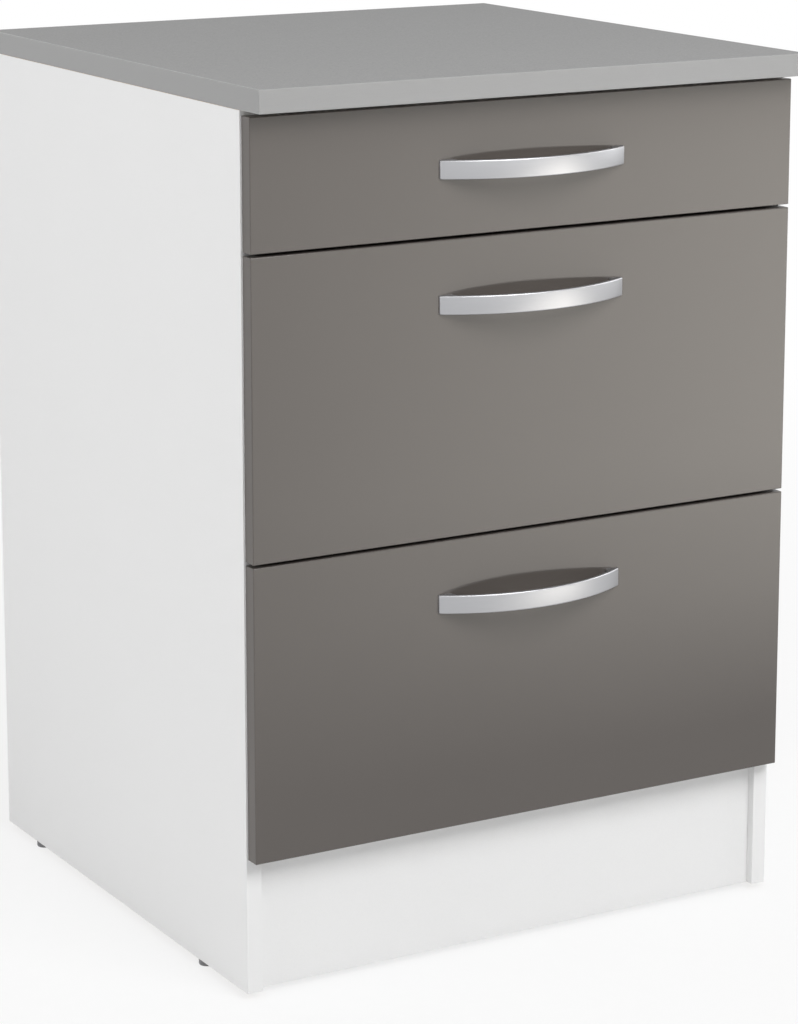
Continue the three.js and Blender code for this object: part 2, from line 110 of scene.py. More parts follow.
# Radius and depth of a roller's face, from its bore to the inside of its rim.
ROLLER_HUB = ((0.0028, 0.0), (0.0045, 0.0), (0.0049, 0.0006), (0.0066, 0.0006), (0.0069, 0.0))
FOLDED_SHEET = 0.0012  # thickness of the runners' steel
FIXING_SEGMENTS = 32  # round a cam lock or a small screw
LAMPS = (  # name, size and place
    ("key_lamp", 1.4, (0.3, -2.15, 2.25)),
    ("left_lamp", 1.8, (-2.8, -0.2, 1.75)),
    ("right_lamp", 2.0, (2.8, -0.2, 1.55)),
    ("rear_lamp", 2.0, (-0.4, 3.0, 1.9)),
)
LAMP_AIM = (0, 0, 0.45)


# ---- Settings ----


def length(name, description, default):
    return FloatProperty(
        name=name, description=description, default=default, min=0.0, unit="LENGTH", precision=5
    )


def colour(name, description, default):
    return FloatVectorProperty(
        name=name, description=description, default=default, min=0.0, max=1.0, subtype="COLOR"
    )


def power(name, description, default):
    return FloatProperty(
        name=name, description=description, default=default, min=0.0, unit="POWER"
    )


def angle(name, description, degrees):
    return FloatProperty(
        name=name, description=description, default=math.radians(degrees), subtype="ANGLE"
    )


class CabinetSizes(bpy.types.PropertyGroup):
    """Sizes of the edges and fixings."""

    band: length("Edge band", "Thickness of the plastic bands on the boards' edges", 0.0008)
    board_edge: length("Board edge", "Rounding of the melamine boards' edges", 0.0004)
    worktop_edge: length("Worktop edge", "Rounding of the worktop's edges", 0.0006)
    front_edge: length("Front edge", "Rounding of the drawer fronts' edges", 0.0009)
    sheet_edge: length("Sheet edge", "Rounding of the hardboard sheets' edges", 0.0003)
    steel_edge: length("Steel edge", "Rounding of the runners' folded edges", 0.00032)
    handle_edge: length("Handle edge", "Rounding of the handles' long edges", 0.0014)
    cam_radius: length("Cam radius", "Radius of the cam locks", 0.0075)
    cam_inset: length("Cam inset", "From a board's end to the cam lock's axis", 0.024)
    round_segments: IntProperty(
        name="Round segments", description="Segments of the turned pieces", default=48, min=12
    )
    bow_segments: IntProperty(
        name="Bow segments", description="Segments along a handle's bow", default=96, min=24
    )


class CabinetColours(bpy.types.PropertyGroup):
    """Colours of the finishes."""

    melamine: colour("Melamine", "Facing of the carcass and drawer boards", (0.85, 0.85, 0.849))
    edge_band: colour("Edge band", "Plastic band on the boards' front edges", (0.857, 0.857, 0.856))
    chipboard: colour("Chipboard", "Core where a board is cut", (0.52, 0.37, 0.22))
    laminate: colour("Laminate", "Upper face of the worktop", (0.23, 0.23, 0.229))
    laminate_band: colour("Laminate band", "Edges of the worktop", (0.318, 0.318, 0.317))
    lacquer: colour("Lacquer", "Gloss drawer fronts", (0.1, 0.0885, 0.0805))
    handle: colour("Handle metal", "Satin metal of the handles", (0.432, 0.435, 0.45))
    epoxy: colour("Epoxy coat", "Coating of the steel runners", (0.8, 0.8, 0.785))
    nylon: colour("Nylon", "Rollers", (0.83, 0.81, 0.75))
    zinc: colour("Zinc", "Screws and rivets", (0.6, 0.62, 0.65))
    hardboard: colour("Hardboard", "Bare side of the thin sheets", (0.36, 0.24, 0.14))
    plastic: colour("Grey plastic", "Floor glides", (0.22, 0.22, 0.23))


class StudioSettings(bpy.types.PropertyGroup):
    """Camera, lamps and floor."""

    camera_place: FloatVectorProperty(
        name="Camera place",
        description="Where the camera stands",
        default=(-1.638387, -2.856436, 1.212021),
        subtype="TRANSLATION",
        unit="LENGTH",
    )
    camera_pitch: angle("Camera pitch", "How far the camera looks down", 11.499)
    camera_yaw: angle("Camera yaw", "How far the camera is turned to the right", 30.04)
    camera_lens: FloatProperty(
        name="Lens", description="Focal length", default=115.671, unit="CAMERA", min=1.0
    )
    camera_shift: FloatProperty(
        name="Shift", description="Vertical shift of the lens", default=-0.15
    )
    ambient: FloatProperty(
        name="Ambient", description="Light from all around", default=0.35, min=0.0
    )
    key_lamp: power("Key lamp", "Power of the lamp above and before the drawers", 47.0)
    left_lamp: power("Left lamp", "Power of the lamp on the left", 35.0)
    right_lamp: power("Right lamp", "Power of the lamp on the right", 33.0)
    rear_lamp: power("Rear lamp", "Power of the lamp behind", 14.0)
    card: FloatProperty(
        name="Card",
        description="Glow of the card that the gloss fronts mirror",
        default=4.7,
        min=0.0,
    )


# ---- Nodes ----


class Value:
    """The output of a node. Arithmetic on it adds Math nodes."""

    def __init__(self, nodes, socket):
        self.nodes = nodes
        self.socket = socket

    def _math(self, operation, *terms):
        return self.nodes.add("ShaderNodeMath", {"operation": operation}, terms)

    def __add__(self, other):
        return self._math("ADD", self, other)

    __radd__ = __add__

    def __sub__(self, other):
        return self._math("SUBTRACT", self, other)

    def __rsub__(self, other):
        return self._math("SUBTRACT", other, self)

    def __mul__(self, other):
        return self._math("MULTIPLY", self, other)

    __rmul__ = __mul__

    def __truediv__(self, other):
        return self._math("DIVIDE", self, other)

    def __rtruediv__(self, other):
        return self._math("DIVIDE", other, self)


class Nodes:
    """The nodes of one material, lamp or world."""

    def __init__(self, owner):
        owner.use_nodes = True
        self.owner = owner
        self.tree = owner.node_tree
        self.tree.nodes.clear()

    def add(self, kind, settings=None, sockets=(), output=0):
        """Adds a node: its settings, then the values or links of its sockets."""
        made = self.tree.nodes.new(kind)
        for key, value in (settings or {}).items():
            if key == "stops":
                self._set_ramp(made.color_ramp, value)
            else:
                setattr(made, key, value)
        pairs = sockets.items() if isinstance(sockets, dict) else enumerate(sockets)
        for key, value in pairs:
            if isinstance(value, Value):
                self.tree.links.new(value.socket, made.inputs[key])
            else:
                made.inputs[key].default_value = value
        return Value(self, made.outputs[output]) if made.outputs else None

    @staticmethod
    def _set_ramp(ramp, stops):
        while len(ramp.elements) < len(stops):
            ramp.elements.new(1.0)
        for element, (position, tone) in zip(ramp.elements, stops):
            element.position = position
            element.color = tone

    def where(self, stretch=(1, 1, 1)):
        """The surface's own coordinates in metres, each axis stretched."""
        place = self.add("ShaderNodeTexCoord", output="Object")
        return self.add("ShaderNodeVectorMath", {"operation": "MULTIPLY"}, [place, stretch])

    def noise(self, scale, detail=2.0, stretch=(1, 1, 1)):
        sockets = {"Vector": self.where(stretch), "Scale": scale, "Detail": detail}
        return self.add("ShaderNodeTexNoise", None, sockets)

    def cells(self, scale, stretch=(1, 1, 1), output="Distance", feature="F1"):
        sockets = {"Vector": self.where(stretch), "Scale": scale}
        return self.add("ShaderNodeTexVoronoi", {"feature": feature}, sockets, output)

    def spread(self, value, low, high, bottom=0.0, top=1.0):
        """A value between low and high, moved to the range from bottom to top."""
        return self.add("ShaderNodeMapRange", None, [value, low, high, bottom, top])

    def tint(self, share, first, second):
        """A colour between two others."""
        return self.add("ShaderNodeMix", {"data_type": "RGBA"}, {0: share, 6: first, 7: second}, 2)

    def shades(self, share, tone, low, high):
        """A colour between two shades of one tone."""
        return self.tint(share, opaque(tone, low), opaque(tone, high))

    def edges(self, radius):
        """1 on edges, and 0 further from them than the radius."""
        rounded = self.add("ShaderNodeBevel", {"samples": 4}, {"Radius": radius})
        plain = self.add("ShaderNodeNewGeometry", output="Normal")
        product = {"operation": "DOT_PRODUCT"}
        alike = self.add("ShaderNodeVectorMath", product, [rounded, plain], "Value")
        return self.spread(alike, 0.99, 0.8)

    def bump(self, height, depth):
        """A normal from a height between 0 and 1 and the depth that it stands for."""
        return self.add("ShaderNodeBump", None, {"Height": height, "Distance": depth}, "Normal")

    def surface(self, tone, roughness, normal, metallic=0.0):
        """Ends a material with its Principled shader."""
        sockets = {
            "Base Color": tone,
            "Metallic": metallic,
            "Roughness": roughness,
            "Normal": normal,
        }
        return self.end(self.add("ShaderNodeBsdfPrincipled", None, sockets))

    def end(self, shader):
        """Joins the last shader to the material's output."""
        self.add("ShaderNodeOutputMaterial", None, {"Surface": shader})
        return self.owner


def opaque(tone, light=1.0):
    return (tone[0] * light, tone[1] * light, tone[2] * light, 1.0)


# ---- Finishes ----


def melamine(nodes, tones):
    """Satin facing: a faint pearl grain, pressed with a fine leather-like texture."""
    cloud = nodes.noise(9, 3)
    grain = nodes.noise(900, 3)
    edge = nodes.edges(0.0008)
    tone = nodes.shades(cloud, tones.melamine, 0.985, 1.01)
    speck = nodes.spread(grain, 0.42, 0.62)
    tone = nodes.tint(speck * 0.35, tone, opaque(tones.melamine, 0.955))
    tone = nodes.tint(edge * 0.5, tone, opaque(tones.melamine, 0.93))
    return nodes.surface(tone, 0.36 + cloud * 0.1 + grain * 0.08, nodes.bump(grain, 0.00003))


def edge_band(nodes, tones):
    """Plastic edge band: smoother than the facing, with drawn lines along it."""
    lines = nodes.noise(60, 2, (30, 30, 1))
    cloud = nodes.noise(25, 2)
    tone = nodes.shades(cloud, tones.edge_band, 0.97, 1.0)
    tone = nodes.tint(nodes.edges(0.0006) * 0.6, tone, opaque(tones.edge_band, 0.85))
    return nodes.surface(tone, 0.28 + lines * 0.12, nodes.bump(lines, 0.00002))


def chipboard(nodes, tones):
    """Bare core of a board: pressed chips of wood with dark gaps between them."""
    chip_scale, flat_chips = 420, (1, 1, 1.6)
    chips = nodes.cells(chip_scale, flat_chips, "Color")
    fine = nodes.noise(1500, 3)
    gaps = nodes.cells(chip_scale, flat_chips, "Distance", "DISTANCE_TO_EDGE")
    grey = nodes.add("ShaderNodeSeparateColor", None, [chips])
    lights = ((0.0, 0.62), (0.45, 1.0), (1.0, 1.35))
    stops = [(place, opaque(tones.chipboard, light)) for place, light in lights]
    tone = nodes.add("ShaderNodeValToRGB", {"stops": stops}, [grey])
    crack = nodes.spread(gaps, 0.09, 0.0)
    tone = nodes.tint(crack * 0.7, tone, opaque(tones.chipboard, 0.35))
    tone = nodes.tint(fine * 0.3, tone, opaque(tones.chipboard, 0.75))
    height = grey * 0.6 + fine * 0.4 - crack * 0.5
    return nodes.surface(tone, 0.82 + fine * 0.1, nodes.bump(height, 0.0003))


def laminate(nodes, tones):
    """Worktop laminate: matt grey with a fine mineral speckle and a pebbled touch."""
    speck = nodes.cells(700, output="Color")
    grey = nodes.add("ShaderNodeSeparateColor", None, [speck])
    cloud = nodes.noise(7, 4)
    pebble = nodes.noise(620, 3)
    tone = nodes.shades(cloud, tones.laminate, 0.965, 1.035)
    tone = nodes.tint(nodes.spread(grey, 0.86, 0.95) * 0.35, tone, opaque(tones.laminate, 1.3))
    tone = nodes.tint(nodes.spread(grey, 0.14, 0.05) * 0.4, tone, opaque(tones.laminate, 0.7))
    tone = nodes.tint(nodes.edges(0.0012) * 0.25, tone, opaque(tones.laminate, 1.35))
    return nodes.surface(tone, 0.56 + cloud * 0.1 + pebble * 0.12, nodes.bump(pebble, 0.00006))


def laminate_band(nodes, tones):
    """The worktop's edge: the same laminate, calendered smoother along the edge."""
    lines = nodes.noise(40, 3, (1, 1, 30))
    speck = nodes.noise(1300, 2)
    tone = nodes.shades(lines, tones.laminate_band, 0.96, 1.02)
    tone = nodes.tint(nodes.spread(speck, 0.55, 0.7) * 0.4, tone, opaque(tones.laminate_band, 0.85))
    tone = nodes.tint(nodes.edges(0.001) * 0.3, tone, opaque(tones.laminate_band, 1.4))
    return nodes.surface(tone, 0.4 + lines * 0.12, nodes.bump(speck, 0.00004))


def backing_paper(nodes, tones):
    """Balancing paper under the worktop: pale, with fibres."""
    fibre = nodes.noise(180, 5, (1, 4, 1))
    dark_paper, pale_paper = (0.5, 0.47, 0.42, 1), (0.62, 0.59, 0.53, 1)
    tone = nodes.tint(fibre, dark_paper, pale_paper)
    return nodes.surface(tone, 0.7 + fibre * 0.15, nodes.bump(fibre, 0.00005))


def gloss_lacquer(nodes, tones):
    """Gloss face of a drawer front: a deep smooth coat with the faintest ripple."""
    ripple = nodes.noise(55, 1)
    cloud = nodes.noise(4, 2)
    dust = nodes.noise(2600, 1)
    tone = nodes.shades(cloud, tones.lacquer, 0.97, 1.03)
    tone = nodes.tint(nodes.edges(0.0012) * 0.35, tone, opaque(tones.lacquer, 1.25))
    roughness = 0.07 + nodes.spread(dust, 0.5, 0.8) * 0.04 + cloud * 0.02
    return nodes.surface(tone, roughness, nodes.bump(ripple, 0.000012))


def lacquered_edge(nodes, tones):
    """Edges of a drawer front: the same colour in a satin foil."""
    lines = nodes.noise(300, 3)
    tone = nodes.shades(lines, tones.lacquer, 0.9, 1.08)
    tone = nodes.tint(nodes.edges(0.0012) * 0.35, tone, opaque(tones.lacquer, 1.35))
    return nodes.surface(tone, 0.3 + lines * 0.12, nodes.bump(lines, 0.00004))


def satin_metal(nodes, tones):
    """Satin handle metal, brushed along the bow, with a painted highlight along its edges."""
    brushed = nodes.noise(1, 4, (60, 60, 5200))
    cloud = nodes.noise(30, 2)
    tone = nodes.shades(brushed, tones.handle, 0.93, 1.06)
    # Painted highlight: near the rounded edges the tone is up to nearly twice as bright, standing in
    # for the light that the edges catch.
    tone = nodes.tint(nodes.edges(0.0016) * 0.9, tone, opaque(tones.handle, 2.0))
    roughness = 0.33 + brushed * 0.07 + cloud * 0.04
    return nodes.surface(tone, roughness, nodes.bump(brushed, 0.000012), metallic=1.0)


def epoxy_steel(nodes, tones):
    """White powder coat on folded steel: fine orange peel, thinner on the folds."""
    peel = nodes.noise(650, 2)
    cloud = nodes.noise(18, 2)
    edge = nodes.edges(0.0005)
    rubbed = edge * nodes.spread(nodes.noise(140, 3), 0.52, 0.7)
    tone = nodes.shades(cloud, tones.epoxy, 0.97, 1.02)
    bare_steel = (0.42, 0.42, 0.43, 1)
    tone = nodes.tint(rubbed * 0.4, tone, bare_steel)
    return nodes.surface(tone, 0.3 + peel * 0.14, nodes.bump(peel, 0.00006), metallic=rubbed * 0.7)


def nylon(nodes, tones):
    """Moulded nylon with turning marks and a little dirt at the rim."""
    cloud = nodes.noise(400, 3)
    rim = nodes.edges(0.0006)
    tone = nodes.shades(cloud, tones.nylon, 0.95, 1.03)
    tone = nodes.tint(rim * 0.4, tone, opaque(tones.nylon, 0.7))
    return nodes.surface(tone, 0.38 + cloud * 0.12, nodes.bump(cloud, 0.00003))


def zinc(nodes, tones):
    """Bright zinc plating with a cloudy passivation."""
    cloud = nodes.noise(350, 4)
    tone = nodes.shades(cloud, tones.zinc, 0.85, 1.15)
    tone = nodes.tint(nodes.edges(0.0003) * 0.4, tone, opaque(tones.zinc, 1.4))
    return nodes.surface(tone, 0.3 + cloud * 0.18, nodes.bump(cloud, 0.00003), metallic=1.0)


def bare_hardboard(nodes, tones):
    """Rough side of hardboard: brown fibres and the print of the press screen."""
    fibre = nodes.noise(260, 6)
    mottle = nodes.noise(35, 4)
    screen = nodes.cells(700, feature="DISTANCE_TO_EDGE")
    share = nodes.spread(fibre, 0.35, 0.65)
    tone = nodes.shades(share, tones.hardboard, 0.78, 1.2)
    tone = nodes.tint(nodes.spread(mottle, 0.4, 0.7) * 0.3, tone, opaque(tones.hardboard, 0.6))
    height = fibre * 0.5 + nodes.spread(screen, 0.0, 0.3) * 0.5
    return nodes.surface(tone, 0.75 + fibre * 0.15, nodes.bump(height, 0.0002))


def coated_hardboard(nodes, tones):
    """Smooth side of hardboard under thin white lacquer."""
    fibre = nodes.noise(220, 5)
    cloud = nodes.noise(12, 3)
    tone = nodes.shades(cloud, tones.melamine, 0.95, 1.0)
    tone = nodes.tint(nodes.spread(fibre, 0.55, 0.75) * 0.2, tone, opaque(tones.melamine, 0.86))
    return nodes.surface(tone, 0.4 + fibre * 0.15, nodes.bump(fibre, 0.00006))


def grey_plastic(nodes, tones):
    """Moulded grey plastic with a spark-eroded grain, scuffed underneath."""
    grain = nodes.noise(1400, 2)
    scuff = nodes.noise(300, 3, (1, 4, 1))
    tone = nodes.shades(scuff, tones.plastic, 0.85, 1.2)
    return nodes.surface(tone, 0.5 + grain * 0.2, nodes.bump(grain, 0.00008))


def finish(recipe):
    """The material of a recipe, made at its first use."""
    name = recipe.__name__ + "_finish"
    made = bpy.data.materials.get(name)
    if made is None:
        nodes = Nodes(bpy.data.materials.new(name))
        made = recipe(nodes, bpy.context.scene.cabinet_colours)
    return made


# ---- Shapes ----


def node_shape(node):
    """A CAD node's mesh with its flat faces whole again."""
    shape = bmesh.new()
    shape.from_mesh(frame["nodes"][node].data)
    bmesh.ops.remove_doubles(shape, verts=shape.verts, dist=WELD)
    bmesh.ops.dissolve_limit(shape, angle_limit=FLAT, verts=shape.verts, edges=shape.edges)
    return shape


def add_object(name, data):
    """Shows a mesh, lamp or camera in the scene."""
    made = bpy.data.objects.new(name, data)
    bpy.context.scene.collection.objects.link(made)
    return made


def add_piece(name, shape, body, slot, finishes, stands_for=()):
    """Makes a piece of a shape in the shared frame, riding a CAD body."""
    mesh = bpy.data.meshes.new(name)
    shape.to_mesh(mesh)
    shape.free()
    mesh.shade_smooth()
    for made in finishes:
        mesh.materials.append(made)
    piece = add_object(name, mesh)
    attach(piece, body)
    if stands_for:
        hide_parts(*stands_for)
    return piece


def soften(piece, width, segments=3):
    """Rounds a piece's sharp edges and keeps its flat faces looking flat."""
    rounding = piece.modifiers.new("Rounded edges", "BEVEL")
    rounding.width = width
    rounding.segments = segments
    rounding.limit_method = "ANGLE"
    rounding.angle_limit = SHARP
    rounding.harden_normals = True


def cell_shape(low, high, hollow, planes):
    """A board between two corners as faces on a grid, less the part in a hollow box.

    planes adds cuts through the board as (axis, place) pairs, for finishes that end there.
    """
    cuts = [{low[axis], high[axis]} for axis in range(3)]
    for corner in hollow or ():
        for axis in range(3):
            if low[axis] + TOUCH < corner[axis] < high[axis] - TOUCH:
                cuts[axis].add(corner[axis])
    for axis, place in planes:
        cuts[axis].add(place)
    cuts = [sorted(places) for places in cuts]
    counts = [len(places) - 1 for places in cuts]

    def solid(cell):
        if any(not 0 <= index < count for index, count in zip(cell, counts)):
            return False
        if not hollow:
            return True
        middle = [(cuts[axis][cell[axis]] + cuts[axis][cell[axis] + 1]) / 2 for axis in range(3)]
        return not all(a < m < b for a, m, b in zip(hollow[0], middle, hollow[1]))

    shape = bmesh.new()
    corners = {}

    def corner(index):
        if index not in corners:
            corners[index] = shape.verts.new([cuts[axis][index[axis]] for axis in range(3)])
        return corners[index]

    for cell in itertools.product(*map(range, counts)):
        if not solid(cell):
            continue
        for axis, step in itertools.product(range(3), (0, 1)):
            beside = list(cell)
            beside[axis] += 2 * step - 1
            if solid(beside):
                continue
            across, up = (axis + 1) % 3, (axis + 2) % 3
            loop = []
            for move_across, move_up in ((0, 0), (1, 0), (1, 1), (0, 1)):
                index = list(cell)
                index[axis] += step
                index[across] += move_across
                index[up] += move_up
                loop.append(corner(tuple(index)))
            shape.faces.new(loop if step else loop[::-1])
    return shape


def board(node, name, width, coats, cut, band=None, seat=None, through=None, segments=3):
    """Replaces a CAD board by one with rounded edges, its groove and a finish for each side.

    coats gives the finish of each outer side by its word in AXES, and cut the finish of other
    faces. band is (finish, thickness, sides): a strip glued on those sides. seat names the sheet
    that sits in the board's groove, which runs through along one axis if that is given.
    """
    low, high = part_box(node)
    hollow = None
    if seat:
        hollow = [corner.copy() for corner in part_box(seat)]
        for axis in range(3):
            spare = BEYOND if axis == through else SEAT_GAP
            hollow[0][axis] -= spare
            hollow[1][axis] += spare
    strips = {}
    if band:
        recipe, thickness, words = band
        for word in words:
            axis, sign = AXES[word]
            strips[word] = (axis, (high if sign > 0 else low)[axis] - sign * thickness)
    shape = cell_shape(low, high, hollow, strips.values())
    recipes = list(dict.fromkeys([cut, *coats.values(), *([band[0]] if band else [])]))
    for face in shape.faces:
        face.normal_update()
        middle = face.calc_center_median()
        face.material_index = 0
        for word, recipe in coats.items():
            axis, sign = AXES[word]
            outer = (high if sign > 0 else low)[axis]
            if face.normal[axis] * sign > 0.5 and abs(middle[axis] - outer) < TOUCH:
                face.material_index = recipes.index(recipe)
        for word, (axis, place) in strips.items():
            if (middle[axis] - place) * AXES[word][1] > 0:
                face.material_index = recipes.index(band[0])
    made = [finish(recipe) for recipe in recipes]
    piece = add_piece(name, shape, BODIES[node], SLOTS[node], made, [node])
    soften(piece, width, segments)


def dress(node, name, width, recipe, segments=2):
    """Replaces a CAD node by a piece of the same shape with rounded edges."""
    piece = add_piece(name, node_shape(node), BODIES[node], SLOTS[node], [finish(recipe)], [node])
    soften(piece, width, segments)


def cross_reach(angle):
    """How far a cross recess reaches at an angle, as a share of its arms' length."""
    return 0.4 + 0.6 * max(0.0, math.cos(4 * angle)) ** 2


def add_turned(shape, rows, place, direction, segments):
    """Turns rows of (radius, along, crossed) about an axis.

    A crossed row follows the outline of a cross recess instead of a circle.
    """
    aim = Vector(direction).to_track_quat("Z", "Y").to_matrix().to_4x4()
    set_to = Matrix.Translation(place) @ aim
    rings = []
    for radius, along, crossed in rows:
        ring = []
        for step in range(segments if radius > 0 else 1):
            angle = math.tau * step / segments
            reach = radius * (cross_reach(angle) if crossed else 1.0)
            point = Vector((reach * math.cos(angle), reach * math.sin(angle), along))
            ring.append(shape.verts.new(set_to @ point))
        rings.append(ring)
    for lower, upper in zip(rings, rings[1:]):
        for step in range(segments):
            corners = []
            for ring, index in ((lower, step), (lower, step + 1), (upper, step + 1), (upper, step)):
                vertex = ring[index % len(ring)]
                if vertex not in corners:
                    corners.append(vertex)
            shape.faces.new(corners)


def plain_rows(pairs):
    """Rows for add_turned that are all circles."""
    return [(radius, along, False) for radius, along in pairs]


def turned_piece(name, node, rows, place, direction, recipe):
    """A turned piece that stands for one CAD node."""
    shape = bmesh.new()
    add_turned(shape, rows, place, direction, bpy.context.scene.cabinet_sizes.round_segments)
    bmesh.ops.remove_doubles(shape, verts=shape.verts, dist=WELD)
    bmesh.ops.recalc_face_normals(shape, faces=shape.faces)
    piece = add_piece(name, shape, BODIES[node], SLOTS[node], [finish(recipe)], [node])
    piece.data.set_sharp_from_angle(angle=SHARP)


def fixings_piece(name, body, rows, places):
    """Like steel fixings of one body as one piece: places are (place, direction) pairs."""
    shape = bmesh.new()
    for place, direction in places:
        add_turned(shape, rows, place, direction, FIXING_SEGMENTS)
    bmesh.ops.recalc_face_normals(shape, faces=shape.faces)
    piece = add_piece(name, shape, body, "zinc_steel", [finish(zinc)])
    piece.data.set_sharp_from_angle(angle=SHARP)


def cross_head(radius, height, recess):
    """Rows of a domed screw head with a cross recess, seated at zero height."""
    return [
        (0.0, 0.0, False),
        (radius, 0.0, False),
        (radius, height * 0.35, False),
        (radius * 0.93, height * 0.68, False),
        (radius * 0.78, height * 0.9, False),
        (radius * 0.64, height, False),
        (radius * 0.58, height, True),
        (radius * 0.52, height - recess * 0.5, True),
        (radius * 0.3, height - recess, True),
        (0.0, height - recess * 1.25, False),
    ]


def rounded_corner(before, corner, after, reach, steps=8):
    """Points of a rounding that starts and ends at a distance from an outline's corner."""
    corner = Vector(corner)
    start = corner + (Vector(before) - corner).normalized() * reach
    end = corner + (Vector(after) - corner).normalized() * reach
    points = []
    for step in range(steps + 1):
        share = step / steps
        points.append(tuple(start.lerp(corner, share).lerp(corner.lerp(end, share), share)))
    return points


def bow_shape(low, high, rounding, segments):
    """A bow handle: the space between two arcs about one centre, ending in flat feet.

    Its long edges are quarter rounds, made by levels that lie further in towards both sides.
    """
    half = (high.x - low.x) / 2
    rise = high.y - low.y - HANDLE_END_RISE
    outer = (half**2 + rise**2) / (2 * rise)
    centre = low.y + outer
    corner_reach = HANDLE_END_RISE * 0.9
    levels = []
    for step in range(EDGE_STEPS + 1):
        turn = math.pi / 2 * step / EDGE_STEPS
        levels.append((rounding * (1 - math.sin(turn)), rounding * (1 - math.cos(turn))))
    heights = [(low.z + up, inset) for inset, up in levels]
    heights += [(high.z - up, inset) for inset, up in reversed(levels)]
    shape = bmesh.new()
    rings = []
    for height, inset in heights:
        front, rear = [], []
        front_radius = outer - inset
        rear_radius = outer - HANDLE_BLADE + inset
        end = half - inset
        inner_end = half - HANDLE_FOOT
        front_turn = math.asin(end / front_radius)
        rear_turn = math.asin(inner_end / rear_radius)
        for step in range(segments + 1):
            share = 2 * step / segments - 1
            angle = share * front_turn
            front.append((front_radius * math.sin(angle), centre - front_radius * math.cos(angle)))
            angle = share * rear_turn
            rear.append((rear_radius * math.sin(angle), centre - rear_radius * math.cos(angle)))
        rear[0] = (-inner_end, high.y)
        rear[-1] = (inner_end, high.y)
        left = rounded_corner((-end, high.y), front[0], front[1], corner_reach)
        right = rounded_corner(front[-2], front[-1], (end, high.y), corner_reach)
        outline = left + front[1:-1] + right + [(end, high.y)] + rear[::-1] + [(-end, high.y)]
        rings.append([shape.verts.new((x, y, height)) for x, y in outline])
    count = len(rings[0])
    for lower, upper in zip(rings, rings[1:]):
        for step in range(count):
            after = (step + 1) % count
            shape.faces.new((lower[step], lower[after], upper[after], upper[step]))
    # Both end faces are a many-sided face at each foot and four-sided ones along the bow.
    ahead = count - segments - 4
    extra = (ahead - segments) // 2
    for ring in (rings[0], rings[-1]):
        shape.faces.new([*ring[: extra + 1], ring[count - 2], ring[count - 1]])
        for step in range(segments):
            start, back = extra + step, count - 2 - step
            shape.faces.new((ring[start], ring[start + 1], ring[back - 1], ring[back]))
        shape.faces.new(ring[extra + segments : ahead + 3])
    bmesh.ops.recalc_face_normals(shape, faces=shape.faces)
    return shape


# ---- Operators ----


class CABINET_OT_carcass(bpy.types.Operator):
    """Build the side panels, bottom panel, plinth and top rails"""

    bl_idname = "cabinet.carcass"
    bl_label = "Carcass Boards"
    bl_options = {"REGISTER", "UNDO"}

    def execute(self, context):
        sizes = context.scene.cabinet_sizes
        faced = {"left": melamine, "right": melamine}
        band = (edge_band, sizes.band, ["front"])
        for word, _ in HANDS:
            node = f"side_panel_{word}"
            board(node, f"{node}_board", sizes.board_edge, faced, chipboard, band, "back_panel", UP)
        laid = {"top": melamine, "under": melamine}
        for node in ("bottom_panel", "rear_top_rail"):
            name, seat = f"{node}_board", "back_panel"
            board(node, name, sizes.board_edge, laid, chipboard, band, seat, ACROSS)
        board("front_top_rail", "front_top_rail_board", sizes.board_edge, laid, chipboard, band)
        upright = {"front": melamine, "rear": melamine}
        band = (edge_band, sizes.band, ["under"])
        board("plinth_board", "plinth_panel", sizes.board_edge, upright, chipboard, band)
        return {"FINISHED"}


class CABINET_OT_back(bpy.types.Operator):
    """Build the hardboard back panel"""

    bl_idname = "cabinet.back"
    bl_label = "Back Panel"
    bl_options = {"REGISTER", "UNDO"}

    def execute(self, context):
        sizes = context.scene.cabinet_sizes
        coats = {"front": coated_hardboard}
        board("back_panel", "back_panel_sheet", sizes.sheet_edge, coats, bare_hardboard)
        return {"FINISHED"}


class CABINET_OT_worktop(bpy.types.Operator):
    """Build the laminate worktop"""

    bl_idname = "cabinet.worktop"
    bl_label = "Worktop"
    bl_options = {"REGISTER", "UNDO"}

    def execute(self, context):
        sizes = context.scene.cabinet_sizes
        coats = {"under": backing_paper, "top": laminate}
        band = (laminate_band, sizes.band, ["front", "left", "right"])
        board("worktop", "worktop_slab", sizes.worktop_edge, coats, chipboard, band, segments=4)
        return {"FINISHED"}


class CABINET_OT_glides(bpy.types.Operator):
    """Build the floor glides under the side panels"""

    bl_idname = "cabinet.glides"
    bl_label = "Floor Glides"
    bl_options = {"REGISTER", "UNDO"}

    def execute(self, context):
        hollow = 0.0008  # depth of the hollow under the pad
        neck = (0.0057, 0.0072)  # heights of the plain part of the stem, on the pad
        groove_depth = 0.0004
        tip = ((0.0019, 0.0008), (0.0012, 0.0))  # the tip's radius and how far from its end
        for end, (word, _) in itertools.product(("front", "rear"), HANDS):
            node = f"floor_glide_{end}_{word}"
            low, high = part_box(node)
            radius = (high.x - low.x) / 2
            tall = high.z - low.z
            outline = [(0.0, hollow), (radius * 0.35, hollow), (radius * 0.45, 0.0)]
            outline += [(radius - inset, up) for inset, up in GLIDE_RIM]
            outline += [(GLIDE_STEM, up) for up in neck]
            for groove, barb in GLIDE_BARBS:
                outline += [(GLIDE_STEM - groove_depth, groove), (GLIDE_STEM, barb)]
            outline += [(reach, tall - below) for reach, below in tip]
            outline.append((0.0, tall))
            place = ((low.x + high.x) / 2, (low.y + high.y) / 2, low.z)
            rows = plain_rows(outline)
            turned_piece(f"{node}_pad", node, rows, place, (0, 0, 1), grey_plastic)
        return {"FINISHED"}


